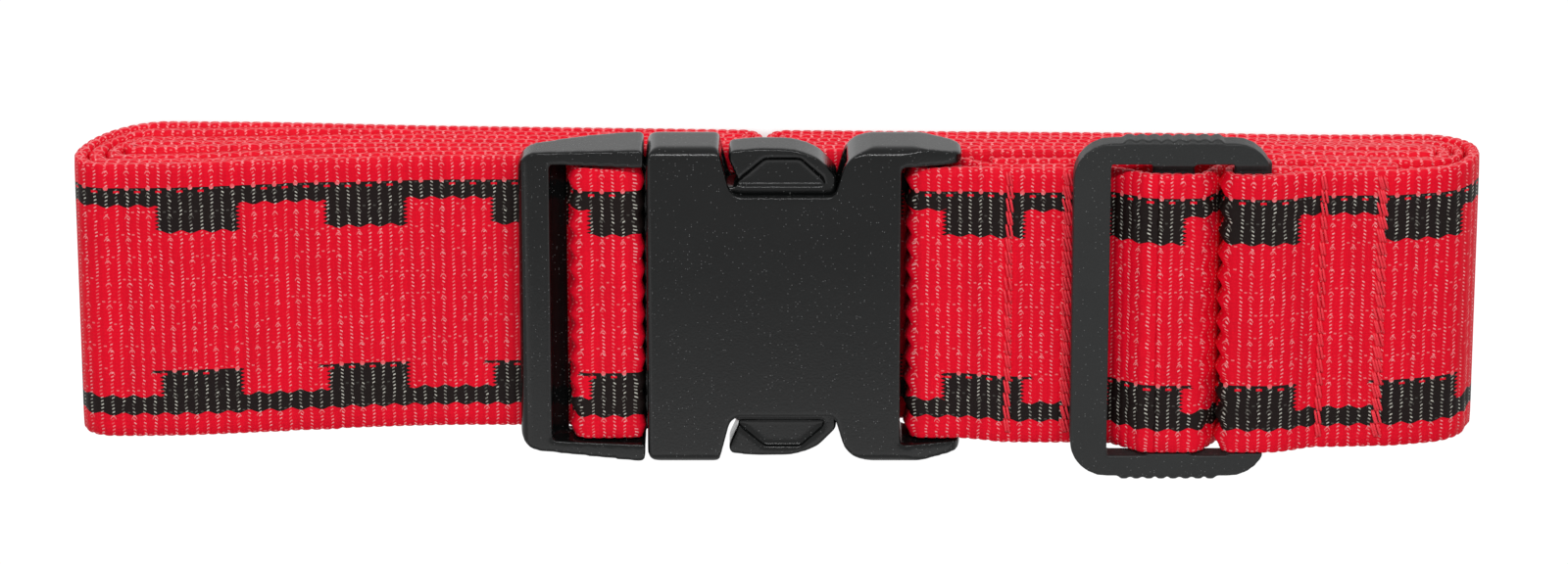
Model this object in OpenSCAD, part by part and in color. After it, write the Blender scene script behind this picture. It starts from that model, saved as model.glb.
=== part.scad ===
// Luggage strap with a side-release buckle and a three-bar slide, folded flat for storage.
// It lies on its folded back. X runs along the folded bundle, Y across the webbing and Z up,
// out of the buckle's face. The origin is the centre of the bundle's underside. Millimetres.

/* [Webbing] */
// Width of the webbing
web_w = 50; // [48:0.5:50.5]
// Thickness of the woven webbing
web_t = 1.45; // [1.3:0.05:1.45]
// Spacing of the layers where they are pressed flat
lay_pitch = 1.9; // [1.86:0.01:1.92]
// Spacing of the layers where they spring apart at the folded ends
end_pitch = 2.6; // [2.5:0.05:2.7]
// Half of the folded bundle's length
half_length = 121.6; // [121:0.1:123]
// Distance from the middle at which the layers start to spread
spread_from = 60; // [56:1:64]
// Distance from the middle at which the layers are fully spread
spread_to = 102; // [98:1:104]
// Place where the two folded flaps meet under the buckle
flaps_meet_x = -2.4; // [-6:0.1:6]
// Gap between the two flaps
flap_gap = 0.8; // [0.6:0.1:3]
// Angle of the steps in a bend, in degrees
bend_step = 15; // [10:1:18]

/* [Sewn ends] */
// Cut end of the hem that is sewn behind the socket's tab
socket_hem_cut_x = 37; // [36.5:0.1:38]
// Folded end of that hem
socket_hem_fold_x = 52.1; // [51.8:0.1:52.4]
// Cut end of the hem that is sewn behind the slide's tab
slide_hem_cut_x = 92.7; // [91:0.1:94]
// Folded end of that hem
slide_hem_fold_x = 106.3; // [105.8:0.1:106.5]
// Distance of each stitch row from the hem's fold
stitch_inset = 2.1; // [1.9:0.1:2.4]
// Distance between the two stitch rows of a seam
stitch_rows_apart = 10.1; // [9:0.1:10.4]
// Length of one stitch
stitch_length = 2.1; // [1.5:0.1:2.4]
// Distance from one stitch to the next
stitch_pitch = 2.8; // [2.6:0.1:3.5]
// Thickness of the sewing thread
thread_d = 0.5; // [0.3:0.05:0.6]

/* [Socket] */
// Left end of the socket, where the plug enters
socket_x0 = -22.8; // [-22.9:0.1:-22.7]
// Right face of the socket's body
socket_x1 = 21.2; // [20.8:0.1:21.4]
// Right end of the arms that hold the web bar
arm_x1 = 31.7; // [31:0.1:32]
// Width of the buckle
buckle_w = 58; // [57.5:0.1:58.5]
// Underside of the buckle
buckle_z0 = 11.3; // [11.3:0.05:11.4]
// Thickness of the socket
socket_t = 11.5; // [11.3:0.1:11.6]
// Radius of the socket's long edges
socket_edge_r = 2; // [1.5:0.25:3]
// Thickness of the socket's front and back walls
socket_wall = 1.9; // [1.6:0.1:2]
// Width of the socket's mouth
mouth_w = 52; // [51.6:0.1:52.2]
// Inner end of the socket's cavity
cavity_x1 = 17; // [15:0.5:18]
// Width left between the two finger notches
notch_floor_w = 40.6; // [40:0.2:41]
// Left edge of the socket's web bar
socket_bar_x = 24.2; // [24.2:0.1:24.4]
// Width of the socket's web bar
socket_bar_w = 5; // [4.4:0.1:5]
// Thickness of the socket's web bar
socket_bar_t = 4.3; // [3.8:0.1:4.3]

/* [Plug] */
// Left end of the plug
plug_x0 = -45; // [-45.4:0.1:-44.6]
// Right end of the plug's side rails
plug_x1 = -23.2; // [-23.3:0.05:-23.1]
// Width of the plug at its left end
plug_end_w = 54.8; // [54.4:0.1:55.4]
// Width of the window that the webbing passes
plug_window_w = 51; // [50.8:0.1:51.4]
// Width of the plug's outer bar
outer_bar_w = 5.6; // [5:0.1:5.8]
// Left edge of the bar that carries the webbing
inner_bar_x = -34.2; // [-34.3:0.1:-34]
// Width of that bar
inner_bar_w = 5.8; // [5:0.1:5.8]
// Length of the middle tongue inside the socket
tongue_length = 28; // [24:0.5:32]
// Width of the middle tongue
tongue_w = 9; // [6:0.5:10]
// Thickness of the tongue and the prongs
prong_t = 7; // [6:0.1:7]

/* [Slide] */
// Left end of the three-bar slide
slide_x0 = 50.8; // [50.6:0.1:50.9]
// Length of the slide along the webbing
slide_l = 34.2; // [34:0.1:34.4]
// Width of the slide
slide_w = 62.7; // [61.5:0.1:63.5]
// Front face of the slide above the bundle's underside
slide_z1 = 24.5; // [24.4:0.05:24.6]
// Thickness of the slide
slide_t = 4.2; // [4.1:0.05:4.25]
// Width of the slide's windows
slide_window_w = 53.6; // [52:0.1:54]
// Width of the slide's left bar
left_bar_w = 6.4; // [6.2:0.1:6.5]
// Left edge of the middle bar, from the slide's left end
middle_bar_from = 13.6; // [13.6:0.05:13.8]
// Width of the middle bar
middle_bar_w = 7.3; // [7:0.1:7.4]
// Width of the right bar
right_bar_w = 6.5; // [6.2:0.1:6.5]
// Thickness of the middle and right bars
thin_bar_t = 2.4; // [2:0.1:2.4]
// Corner radius of the slide
slide_corner_r = 6.5; // [5:0.1:7]
// Number of grip lobes on each end
grip_lobes = 8; // [5:1:8]
// Distance from lobe to lobe
grip_pitch = 2.15; // [2:0.05:2.2]

/* [Hidden] */

clear = 0.3;          // least clearance between the webbing and the hardware
least_gap = 0.4;      // least gap that the webbing keeps to itself
short_step = 0.01;    // points nearer than this are one point
straight = 0.3;       // a turn under this many degrees isn't rounded
near_along = 5;       // stretches nearer than this along the web are one stretch
red = "#e3142b";
black = "#262627";
grey = "#3d3e3f";

// Rounded outlines and routes: each corner is [x, y, radius]
function flat(p) = [p[0], p[1]];
function unit(v) = v / norm(v);
function turned(v, a) = [v[0] * cos(a) - v[1] * sin(a), v[0] * sin(a) + v[1] * cos(a)];
function rounded_corner(before, corner, after) =
    let (p = flat(corner), u = unit(flat(before) - p), v = unit(flat(after) - p),
        half = acos(max(-1, min(1, u * v))) / 2, turn = 180 - 2 * half)
    turn < straight || corner[2] == 0 ? [p] :
    let (centre = p + unit(u + v) * corner[2] / sin(half),
        from = p + u * corner[2] / tan(half) - centre,
        to = p + v * corner[2] / tan(half) - centre,
        steps = ceil(turn / bend_step), side = sign(cross(from, to)))
    [for (i = [0:steps]) centre + turned(from, side * turn * i / steps)];
function apart(points) =
    [for (i = [0:len(points) - 1])
        if (i == 0 || norm(points[i] - points[i - 1]) > short_step) points[i]];
function rounded_route(c) = apart([
    flat(c[0]),
    for (i = [1:len(c) - 2]) each rounded_corner(c[i - 1], c[i], c[i + 1]),
    flat(c[len(c) - 1])]);
function rounded_outline(c) =
    let (n = len(c))
    apart([for (i = [0:n - 1]) each rounded_corner(c[(i + n - 1) % n], c[i], c[(i + 1) % n])]);
function mirrored(c) = [for (i = [len(c) - 1:-1:0]) [c[i][0], -c[i][1], c[i][2]]];

// The ribbon of webbing along a route, as the two sides of its edge
function side_step(p, i) =
    let (n = len(p) - 1,
        a = unit(p[max(i, 1)] - p[max(i, 1) - 1]),
        b = unit(p[min(i, n - 1) + 1] - p[min(i, n - 1)]),
        t = unit(a + b))
    [-t[1], t[0]] / (t * a);
function ribbon(p, t) = concat(
    [for (i = [0:len(p) - 1]) p[i] + side_step(p, i) * t / 2],
    [for (i = [len(p) - 1:-1:0]) p[i] - side_step(p, i) * t / 2]);
function to_segment(q, a, b) =
    let (ab = b - a, s = max(0, min(1, (q - a) * ab / (ab * ab))))
    norm(q - a - s * ab);
function along(p, i = 0, sum = 0) =
    i == len(p) - 1 ? [sum] : concat([sum], along(p, i + 1, sum + norm(p[i + 1] - p[i])));

// Heights of the layers: 0 is the lowest, 7 the highest
function flat_z(k) = web_t / 2 + k * lay_pitch;
function end_z(k) = web_t / 2 + k * end_pitch;
fold_x = half_length - web_t / 2 - 3.5 * end_pitch;
function fold_r(k) = abs(k - 3.5) * end_pitch;
spread_r = 100;
fold_ease = 0.4;      // how much tighter each fold bends than a half circle

// One layer's spreading, from the middle to an end, or back from it
function outwards(k, side) = [
    [side * spread_from, flat_z(k), spread_r],
    [side * spread_to, end_z(k), spread_r]];
function inwards(k, side) = [
    [side * spread_to, end_z(k), spread_r],
    [side * spread_from, flat_z(k), spread_r]];
// The fold at an end of the bundle, from layer a to layer b
function end_fold(a, b, side) = [
    [side * (fold_x + fold_r(a)), end_z(a), fold_r(a) - fold_ease],
    [side * (fold_x + fold_r(a)), end_z(b), fold_r(a) - fold_ease]];
// The turn at the middle of the bundle, where a flap ends
function flap_turn(a, b, side) =
    let (r = abs(a - b) * lay_pitch / 2,
        x = flaps_meet_x + side * (flap_gap / 2 + web_t / 2 + 1.5 * lay_pitch - r))
    [[x, flat_z(a), r], [x, flat_z(b), r]];

// Places of the slide and its bars
slide_x1 = slide_x0 + slide_l;
slide_z0 = slide_z1 - slide_t;
slide_mid_x = slide_x0 + slide_l / 2;
thin_z0 = slide_z0 + 0.2;
thin_z1 = thin_z0 + thin_bar_t;
middle_bar_x0 = slide_x0 + middle_bar_from;
middle_bar_x1 = middle_bar_x0 + middle_bar_w;
right_bar_x0 = slide_x1 - right_bar_w;

// Heights of the webbing at the slide
half_t = web_t / 2;
hug = half_t + clear;                       // centre of a web that lies against a bar
over_bar_x = middle_bar_x1 + 1.3;           // where the running web leaves the middle bar
running_turn_x = over_bar_x + 4;            // where it turns along the bundle again
running_turn_z = 17.1;
sewn_x = right_bar_x0 - hug;                // the sewn web in the right slot
over_middle_z = thin_z1 + hug + 0.15;
over_right_z = thin_z1 + hug;
slide_tab_z = thin_z0 - hug;
slide_top_z = slide_tab_z + lay_pitch;
slide_hem_z = slide_tab_z - lay_pitch;
running_z = slide_hem_z - lay_pitch;
under_left_z = slide_z0 - hug;
hem_r = lay_pitch / 2;

// Heights of the webbing at the socket
socket_z1 = buckle_z0 + socket_t;
socket_bar_z0 = buckle_z0 + 3.6;
socket_bar_z1 = socket_bar_z0 + socket_bar_t;
over_socket_bar_z = socket_bar_z1 + hug;
under_socket_bar_z = socket_bar_z0 - hug;
socket_loop_x = socket_bar_x - hug;
socket_bar_x1 = socket_bar_x + socket_bar_w;
socket_tab_z = under_left_z - lay_pitch;
socket_hem_z = socket_tab_z - lay_pitch;

// Heights of the webbing at the plug
inner_bar_x1 = inner_bar_x + inner_bar_w;
plug_bar_z0 = flat_z(7) + half_t + clear + 0.1;
inner_bar_z0 = plug_bar_z0 + 0.4;
inner_bar_z1 = inner_bar_z0 + 3.8;
plug_loop_x = inner_bar_x - hug;
plug_loop_z = inner_bar_z1 + hug;
plug_loop_x1 = plug_x1 - 0.4;               // corner of the loop beside the socket

// The whole webbing as one route, from the hem at the slide to the hem at the socket
web_corners = concat(
    [[slide_hem_cut_x, slide_hem_z, 0],
     [slide_hem_fold_x, slide_hem_z, hem_r],
     [slide_hem_fold_x, slide_tab_z, hem_r],
     [sewn_x, slide_tab_z, 1.3],
     [sewn_x, over_right_z, 2],
     [slide_x1 + 1.5, over_right_z, 8],
     [slide_x1 + 7.4, slide_top_z, 6],
     [slide_hem_fold_x + 0.4, slide_top_z, 12]],
    end_fold(7, 0, 1), flap_turn(0, 3, 1), outwards(3, 1), end_fold(3, 4, 1),
    inwards(4, 1), outwards(4, -1), end_fold(4, 3, -1), inwards(3, -1),
    flap_turn(3, 0, -1), end_fold(0, 7, -1), inwards(7, -1),
    [[plug_loop_x, flat_z(7), 1.5],
     [plug_loop_x, plug_loop_z, 2.2],
     [plug_loop_x1, plug_loop_z - 0.2, 1],
     [inner_bar_x1 + 1.4, flat_z(6), 2]],
    outwards(6, -1), end_fold(6, 1, -1), inwards(1, -1), flap_turn(1, 2, -1),
    outwards(2, -1), end_fold(2, 5, -1), inwards(5, -1), outwards(5, 1),
    end_fold(5, 2, 1), inwards(2, 1), flap_turn(2, 1, 1), outwards(1, 1),
    end_fold(1, 6, 1),
    [[slide_hem_fold_x + 0.5, running_z, 12],
     [slide_hem_cut_x - 3.2, running_z, 12],
     [running_turn_x, running_turn_z, 3],
     [over_bar_x, over_middle_z, 3],
     [middle_bar_x0 - 0.8, over_middle_z, 2.2],
     [slide_x0 + left_bar_w + 0.6, under_left_z, 3],
     [socket_hem_cut_x - 1, under_left_z, 20],
     [socket_bar_x1 + 0.4, over_socket_bar_z, 12],
     [socket_loop_x, over_socket_bar_z, 2],
     [socket_loop_x, under_socket_bar_z, 2],
     [socket_bar_x1 + 0.6, under_socket_bar_z, 5],
     [socket_hem_cut_x - 1.4, socket_tab_z, 5],
     [socket_hem_fold_x, socket_tab_z, hem_r],
     [socket_hem_fold_x, socket_hem_z, hem_r],
     [socket_hem_cut_x, socket_hem_z, 0]]);
web_route = rounded_route(web_corners);
web_along = along(web_route);
web_self_gap = min([for (i = [0:len(web_route) - 1]) for (j = [0:len(web_route) - 2])
    if (web_along[j] - web_along[i] > near_along || web_along[i] - web_along[j + 1] > near_along)
        to_segment(web_route[i], web_route[j], web_route[j + 1])]) - web_t;

// A flat outline in X and Z, run across the webbing's direction
module across(points, width) {
    translate([0, width / 2, 0]) rotate([90, 0, 0]) linear_extrude(width) polygon(points);
}
// A flat outline in X and Y, raised from z0 to z1
module raised(points, z0, z1) {
    translate([0, 0, z0]) linear_extrude(z1 - z0) polygon(points);
}
// A block given by its two corners
module block(low, high) {
    translate(low) cube(high - low);
}

module webbing() {
    color(red) across(ribbon(web_route, web_t), web_w);
}

// One row of straight stitches across the webbing, lying on a face at height z
module stitch_row(x, z, side) {
    count = floor((web_w - stitch_length) / stitch_pitch);
    for (i = [-count / 2:count / 2])
        translate([x, i * stitch_pitch, z + side * thread_d * sqrt(3) / 4])
            rotate([90, 0, 0]) cylinder(d = thread_d, h = stitch_length, center = true, $fn = 6);
}
module seam(fold_at, top_z, bottom_z) {
    for (x = [fold_at - stitch_inset, fold_at - stitch_inset - stitch_rows_apart]) {
        stitch_row(x, top_z + half_t, 1);
        stitch_row(x, bottom_z - half_t, -1);
    }
}
module socket_stitching() {
    color(red) seam(socket_hem_fold_x, under_left_z, socket_hem_z);
}
module slide_stitching() {
    color(red) seam(slide_hem_fold_x, slide_top_z, slide_hem_z);
}

// Socket: a flat moulded box with a mouth on the left, a finger notch on each side
// and two arms on the right that hold the web bar
half_w = buckle_w / 2;
arm_in = web_w / 2 + 0.6;
notch_y = notch_floor_w / 2;
over = 0.05;           // how far one outline of the socket stands past another that trims it
notch_x0 = -8.2;       // the notch's floor runs from here
notch_x1 = 9.8;        // to here
notch_lean = 2.2;      // how far its left wall leans
shoulder_y = 27.4;     // bend in its right wall
shoulder_x = 16.4;     // end of its right wall
arm_bend_x = 23.5;     // where the arms start to taper
nose_y = half_w - 1.5; // outer side of an arm's nose
socket_side = [
    [socket_x0 - over, half_w + over, 2.5], [notch_x0 - notch_lean, half_w + over, 1.2],
    [notch_x0, notch_y, 2.4], [notch_x1, notch_y, 1.5], [notch_x1 + 2, shoulder_y, 5],
    [shoulder_x, half_w + over, 3], [arm_bend_x, half_w + over, 8],
    [arm_x1 + over, nose_y, 1.2], [arm_x1 + over, arm_in, 0.5], [socket_x1, arm_in, 0.8]];
socket_profile = [
    [socket_x0, buckle_z0, 1], [socket_x1, buckle_z0, 6], [arm_x1, socket_bar_z0 - 1.6, 3],
    [arm_x1, socket_bar_z1 + 1.1, 3], [socket_x1 + 1, socket_z1, 6], [socket_x0, socket_z1, 1]];
socket_section = [
    [-half_w, buckle_z0 - over, socket_edge_r], [half_w, buckle_z0 - over, socket_edge_r],
    [half_w, socket_z1 + over, socket_edge_r], [-half_w, socket_z1 + over, socket_edge_r]];
module socket() {
    color(black) {
        difference() {
            intersection() {
                raised(rounded_outline(concat(mirrored(socket_side), socket_side)),
                    buckle_z0 - 1, socket_z1 + 1);
                across(rounded_outline(socket_profile), buckle_w + 2);
                translate([socket_x0 - 1, 0, 0]) rotate([90, 0, 90])
                    linear_extrude(arm_x1 - socket_x0 + 2)
                        polygon(rounded_outline(socket_section));
            }
            block([socket_x0 - 1, -mouth_w / 2, buckle_z0 + socket_wall],
                [cavity_x1, mouth_w / 2, socket_z1 - socket_wall]);
        }
        across(rounded_outline([
            [socket_bar_x, socket_bar_z0, 1.2], [socket_bar_x1, socket_bar_z0, 1.2],
            [socket_bar_x1, socket_bar_z1, 1.2], [socket_bar_x, socket_bar_z1, 1.2]]),
            2 * arm_in + 2);
    }
}

// Plug: side rails that taper to the left, an outer bar, the bar that carries the webbing,
// a cross wall in the socket's mouth and a middle tongue
plug_z1 = socket_z1 - 0.1;
plug_low_z1 = plug_z1 - 2.6;                // front face at the plug's left end
wall_x0 = plug_x1 - 0.7;
wall_x1 = socket_x0 + 2.8;
prong_z0 = buckle_z0 + socket_wall + 0.35;
prong_z1 = prong_z0 + prong_t;
wall_z1 = prong_z0 + 3.6;                   // top of the cross wall, under the webbing's loop
shelf_z1 = plug_bar_z0 + 0.7;               // low edge of the outer bar's sloped side
slope_z1 = plug_bar_z0 + 3.6;               // high edge of it
into_rail = 0.4;                            // how far the cross wall reaches into the rails
plug_half = plug_end_w / 2;
outer_bar_x1 = plug_x0 + outer_bar_w;
shelf_x1 = plug_loop_x - hug - 0.35;
window_y = plug_window_w / 2;
module plug() {
    color(black) {
        difference() {
            intersection() {
                raised(rounded_outline([
                    [plug_x0, -plug_half, 3.5], [plug_x1, -half_w + 0.2, 1],
                    [plug_x1, half_w - 0.2, 1], [plug_x0, plug_half, 3.5]]),
                    buckle_z0, plug_z1);
                across(rounded_outline([
                    [plug_x0, plug_bar_z0, 1.6], [plug_x0 + 12, buckle_z0 + 0.6, 20],
                    [plug_x1, buckle_z0 + 0.2, 0.5], [plug_x1, plug_z1, 0.5],
                    [plug_x0, plug_low_z1, 2.2]]), buckle_w);
            }
            block([outer_bar_x1, -window_y, 0],
                [plug_x1 + 1, window_y, plug_z1 + 1]);
            // Under the outer bar, where the webbing passes
            block([plug_x0 - 1, -window_y, 0],
                [plug_x1 + 1, window_y, plug_bar_z0]);
        }
        // The outer bar's sloped inner side, low beside the loop of webbing
        across([[outer_bar_x1 - 1, plug_bar_z0], [shelf_x1, plug_bar_z0],
            [shelf_x1, shelf_z1], [outer_bar_x1 - 1, slope_z1]], plug_window_w + 2);
        across(rounded_outline([
            [inner_bar_x, inner_bar_z0, 1.2], [inner_bar_x1, inner_bar_z0, 1.2],
            [inner_bar_x1, inner_bar_z1, 1.2], [inner_bar_x, inner_bar_z1, 1.2]]),
            plug_window_w + 2);
        block([wall_x0, -window_y - into_rail, prong_z0], [plug_x1, window_y + into_rail, wall_z1]);
        block([plug_x1 - over, -window_y + 1, prong_z0], [wall_x1, window_y - 1, wall_z1]);
        raised(rounded_outline([
            [wall_x1 - 1, -tongue_w / 2, 0], [wall_x1 + tongue_length, -tongue_w / 2, 2.5],
            [wall_x1 + tongue_length, tongue_w / 2, 2.5], [wall_x1 - 1, tongue_w / 2, 0]]),
            prong_z0, prong_z1);
    }
}

// Prong: a springy arm from the cross wall with a wide head that fills the finger notch
// and catches on the notch's left wall
arm_y0 = 17.6;
arm_y1 = 21.4;
root_r = (arm_y1 - arm_y0) / 2 - 0.01; // the arm bends about the middle of its round root
prong_x0 = wall_x1 + 0.15;
head_x0 = notch_x0 - 1;    // the head's catch, beside the notch's left wall
head_x1 = notch_x1 + 0.4;  // the head's right end
head_y = half_w - 0.6;     // crest of the head
facet_y0 = 21.6;           // the recessed facet on the head's front
facet_y1 = 26.6;
facet_deep = 0.8;
prong_outline = [
    [prong_x0, arm_y0, root_r], [prong_x0, arm_y1, root_r], [head_x0 + 2.8, arm_y1, 1],
    [head_x0, head_y - 0.5, 1.2], [head_x0 + 5.8, head_y, 8], [head_x1 - 7.2, head_y - 0.1, 10],
    [head_x1 - 3.2, facet_y1, 5], [head_x1, facet_y1 - 3.5, 1.6],
    [head_x1 - 0.4, arm_y0 + 0.8, 2], [head_x1 - 6.2, arm_y0 - 1.2, 5]];
facet_outline = [
    [head_x0 + 2, facet_y0, 0.4], [head_x0 + 2.6, facet_y0 + 1.4, 0.6],
    [head_x0 + 6.8, facet_y1, 0.6], [head_x1 - 6.3, facet_y1, 0.6],
    [head_x1 - 2.4, facet_y0 + 1.4, 0.6], [head_x1 - 2, facet_y0, 0.4]];
module prong(side) {
    mirror([0, side < 0 ? 1 : 0, 0]) color(black) difference() {
        raised(rounded_outline(prong_outline), prong_z0, prong_z1);
        raised(rounded_outline(facet_outline), prong_z1 - facet_deep, prong_z1 + 1);
    }
}
module upper_prong() {
    prong(1);
}
module lower_prong() {
    prong(-1);
}

// Three-bar slide: a flat frame with a full left bar, thinner middle and right bars,
// and a row of round grip lobes on each end
lobe_r = grip_pitch * 0.6;
lobe_inset = 0.7;
thin_r = 0.9;          // rounding of the two thin bars
recess_half = web_w / 2 + 1.5; // half the width between the ends, beside the two thin bars
bar_in_end = 0.2;      // how far the thin bars reach into the ends
slide_outline = [
    [slide_x0, -slide_w / 2 + lobe_inset, slide_corner_r],
    [slide_x1, -slide_w / 2 + lobe_inset, slide_corner_r],
    [slide_x1, slide_w / 2 - lobe_inset, slide_corner_r],
    [slide_x0, slide_w / 2 - lobe_inset, slide_corner_r]];
module window(x0, x1) {
    block([x0, -slide_window_w / 2, slide_z0 - 1], [x1, slide_window_w / 2, slide_z1 + 1]);
}
module three_bar_slide() {
    color(grey) difference() {
        union() {
            raised(rounded_outline(slide_outline), slide_z0, slide_z1);
            for (side = [-1, 1]) for (i = [0:grip_lobes - 1])
                translate([slide_mid_x + (i - (grip_lobes - 1) / 2) * grip_pitch,
                    side * (slide_w / 2 - lobe_r), slide_z0 + 0.3])
                    cylinder(r = lobe_r, h = slide_t - 0.6, $fn = 24);
        }
        window(slide_x0 + left_bar_w, middle_bar_x0);
        window(middle_bar_x1, right_bar_x0);
        block([middle_bar_x0 - 1, -recess_half, slide_z0 - 1],
            [slide_x1 + 1, recess_half, slide_z1 + 1]);
    }
    color(grey) for (x = [[middle_bar_x0, middle_bar_x1], [right_bar_x0, slide_x1]])
        across(rounded_outline([
            [x[0], thin_z0, thin_r], [x[1], thin_z0, thin_r],
            [x[1], thin_z1, thin_r], [x[0], thin_z1, thin_r]]), 2 * (recess_half + bar_in_end));
}

echo(web_length_mm = web_along[len(web_along) - 1], web_points = len(web_route));
echo(web_self_gap_mm = web_self_gap, allowed_mm = least_gap);

webbing();
socket_stitching();
slide_stitching();
socket();
plug();
upper_prong();
lower_prong();
three_bar_slide();
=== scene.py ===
import math
from functools import partial

import bmesh
import bpy
import numpy as np
from bpy.props import FloatProperty, IntProperty, PointerProperty, StringProperty
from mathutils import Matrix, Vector


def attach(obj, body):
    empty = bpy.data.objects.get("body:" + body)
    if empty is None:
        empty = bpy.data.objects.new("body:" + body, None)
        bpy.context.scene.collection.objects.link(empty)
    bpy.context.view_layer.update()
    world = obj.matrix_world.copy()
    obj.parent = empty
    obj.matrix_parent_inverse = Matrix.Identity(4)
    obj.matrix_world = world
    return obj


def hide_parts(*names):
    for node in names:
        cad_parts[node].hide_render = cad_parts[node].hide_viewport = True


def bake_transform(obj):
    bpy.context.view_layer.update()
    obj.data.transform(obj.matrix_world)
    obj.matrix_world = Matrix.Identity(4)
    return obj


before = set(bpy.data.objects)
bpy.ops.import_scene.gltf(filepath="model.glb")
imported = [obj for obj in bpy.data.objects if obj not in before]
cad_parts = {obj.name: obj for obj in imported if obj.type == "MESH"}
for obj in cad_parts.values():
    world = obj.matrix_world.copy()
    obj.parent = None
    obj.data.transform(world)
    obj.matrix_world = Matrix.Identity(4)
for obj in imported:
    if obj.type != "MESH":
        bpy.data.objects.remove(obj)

bl_info = {
    "name": "Folded luggage strap",
    "version": (1, 0, 0),
    "blender": (4, 5, 0),
    "location": "3D View > Sidebar > Luggage strap",
    "description": "Woven strap folded flat, with a side-release buckle and a three-bar slide",
    "category": "Object",
}

MM = 0.001
REPEAT, RIBS_IN_REPEAT = 29, 16     # millimetres of one pattern repeat, and its ribs
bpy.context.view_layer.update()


# ---------------------------------------------------------------- settings

class WebbingSettings(bpy.types.PropertyGroup):
    """Sizes and yarn colours of the woven webbing"""

    width: FloatProperty(name="Width", description="Width of the webbing",
                         default=50 * MM, unit="LENGTH")
    thickness: FloatProperty(name="Thickness", description="Thickness on top of the ribs",
                             default=1.66 * MM, unit="LENGTH")
    rib_depth: FloatProperty(name="Rib depth", description="Depth of the grooves between two ribs",
                             default=0.09 * MM, unit="LENGTH")
    repeat: FloatProperty(name="Pattern repeat", description="Length of one pattern repeat, 16 ribs",
                          default=REPEAT * MM, unit="LENGTH")
    yarn: FloatProperty(name="Yarn spacing", description="Spacing of the warp yarns",
                        default=0.72 * MM, unit="LENGTH")
    tick_step: FloatProperty(name="Tick spacing", description="Spacing of the slanted weft ticks",
                             default=0.66 * MM, unit="LENGTH")
    ground: StringProperty(name="Ground", description="sRGB hex of the red warp", default="E60927")
    stripe: StringProperty(name="Stripe", description="sRGB hex of the black warp", default="170F0E")
    tick: StringProperty(name="Tick", description="sRGB hex of the weft where it shows on the red",
                         default="FFB2B4")
    grey_tick: StringProperty(name="Grey tick", description="sRGB hex of the weft on the black",
                              default="DCDACE")


class BuckleSettings(bpy.types.PropertyGroup):
    """Finish of the moulded buckle"""

    colour: StringProperty(name="Colour", description="sRGB hex of the acetal", default="0D0E0E")
    grain: FloatProperty(name="Grain", description="Size of the spark-eroded grain",
                         default=0.3 * MM, unit="LENGTH")
    voxel: FloatProperty(name="Mesh step", description="Voxel size of the moulded pieces",
                         default=0.32 * MM, unit="LENGTH")
    rounding: IntProperty(name="Edge rounding", description="Smoothing steps of the moulded edges",
                          default=9, min=0, max=40)


class SlideSettings(bpy.types.PropertyGroup):
    """Finish of the moulded three-bar slide"""

    colour: StringProperty(name="Colour", description="sRGB hex of the acetal", default="282929")
    grain: FloatProperty(name="Grain", description="Size of the spark-eroded grain",
                         default=0.34 * MM, unit="LENGTH")
    voxel: FloatProperty(name="Mesh step", description="Voxel size of the moulded piece",
                         default=0.26 * MM, unit="LENGTH")
    rounding: IntProperty(name="Edge rounding", description="Smoothing steps of the moulded edges",
                          default=5, min=0, max=40)


class ThreadSettings(bpy.types.PropertyGroup):
    """Sewing thread of the two seams"""

    diameter: FloatProperty(name="Diameter", description="Thickness of the thread",
                            default=0.46 * MM, unit="LENGTH")
    stitch: FloatProperty(name="Stitch", description="Length of one stitch",
                          default=2.5 * MM, unit="LENGTH")
    colour: StringProperty(name="Colour", description="sRGB hex of the thread", default="E61630")
    fibre: StringProperty(name="Fibre", description="sRGB hex of its loose fibres", default="EB3244")


class StudioSettings(bpy.types.PropertyGroup):
    """Camera and light"""

    tilt: FloatProperty(name="Tilt", description="Tilt of the camera off the buckle's face",
                        default=math.radians(20), subtype="ANGLE")
    distance: FloatProperty(name="Distance", description="Camera distance", default=1.2, unit="LENGTH")
    lens: FloatProperty(name="Lens", description="Focal length in millimetres", default=156.2)
    key: FloatProperty(name="Key light", description="Power of the strip above, in watts", default=10.3)
    fill: FloatProperty(name="Fill light", description="Power of the light below, in watts", default=0.45)
    sky: FloatProperty(name="Sky", description="Strength of the even light all round", default=0.3)


SETTINGS = (WebbingSettings, BuckleSettings, SlideSettings, ThreadSettings, StudioSettings)
NAMES = ("strap_webbing", "strap_buckle", "strap_slide", "strap_thread", "strap_studio")


# ---------------------------------------------------------------- colours and nodes

def linear(hex_text, alpha=1.0):
    """An sRGB hex colour as linear RGBA."""
    parts = [int(hex_text[i:i + 2], 16) / 255 for i in (0, 2, 4)]
    return tuple(c / 12.92 if c <= 0.04045 else ((c + 0.055) / 1.055) ** 2.4
                 for c in parts) + (alpha,)


def feed(tree, node, inputs):
    """Links or sets a node's inputs, each to a value, a socket or the first output of a node."""
    for key, value in inputs.items():
        if isinstance(value, bpy.types.Node):
            value = value.outputs[0]
        if isinstance(value, bpy.types.NodeSocket):
            tree.links.new(value, node.inputs[key])
        else:
            node.inputs[key].default_value = value


def add(tree, kind, *values, **settings):
    """Adds a node with its settings. A kind in capitals is an operation of the Math node. The values
    are those of the first inputs in order, or one dict from inputs to values."""
    if kind.isupper():
        kind, settings["operation"] = "ShaderNodeMath", kind
    node = tree.nodes.new(kind)
    for key, value in settings.items():
        setattr(node, key, value)
    feed(tree, node, values[0] if values and isinstance(values[0], dict) else dict(enumerate(values)))
    return node


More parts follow.
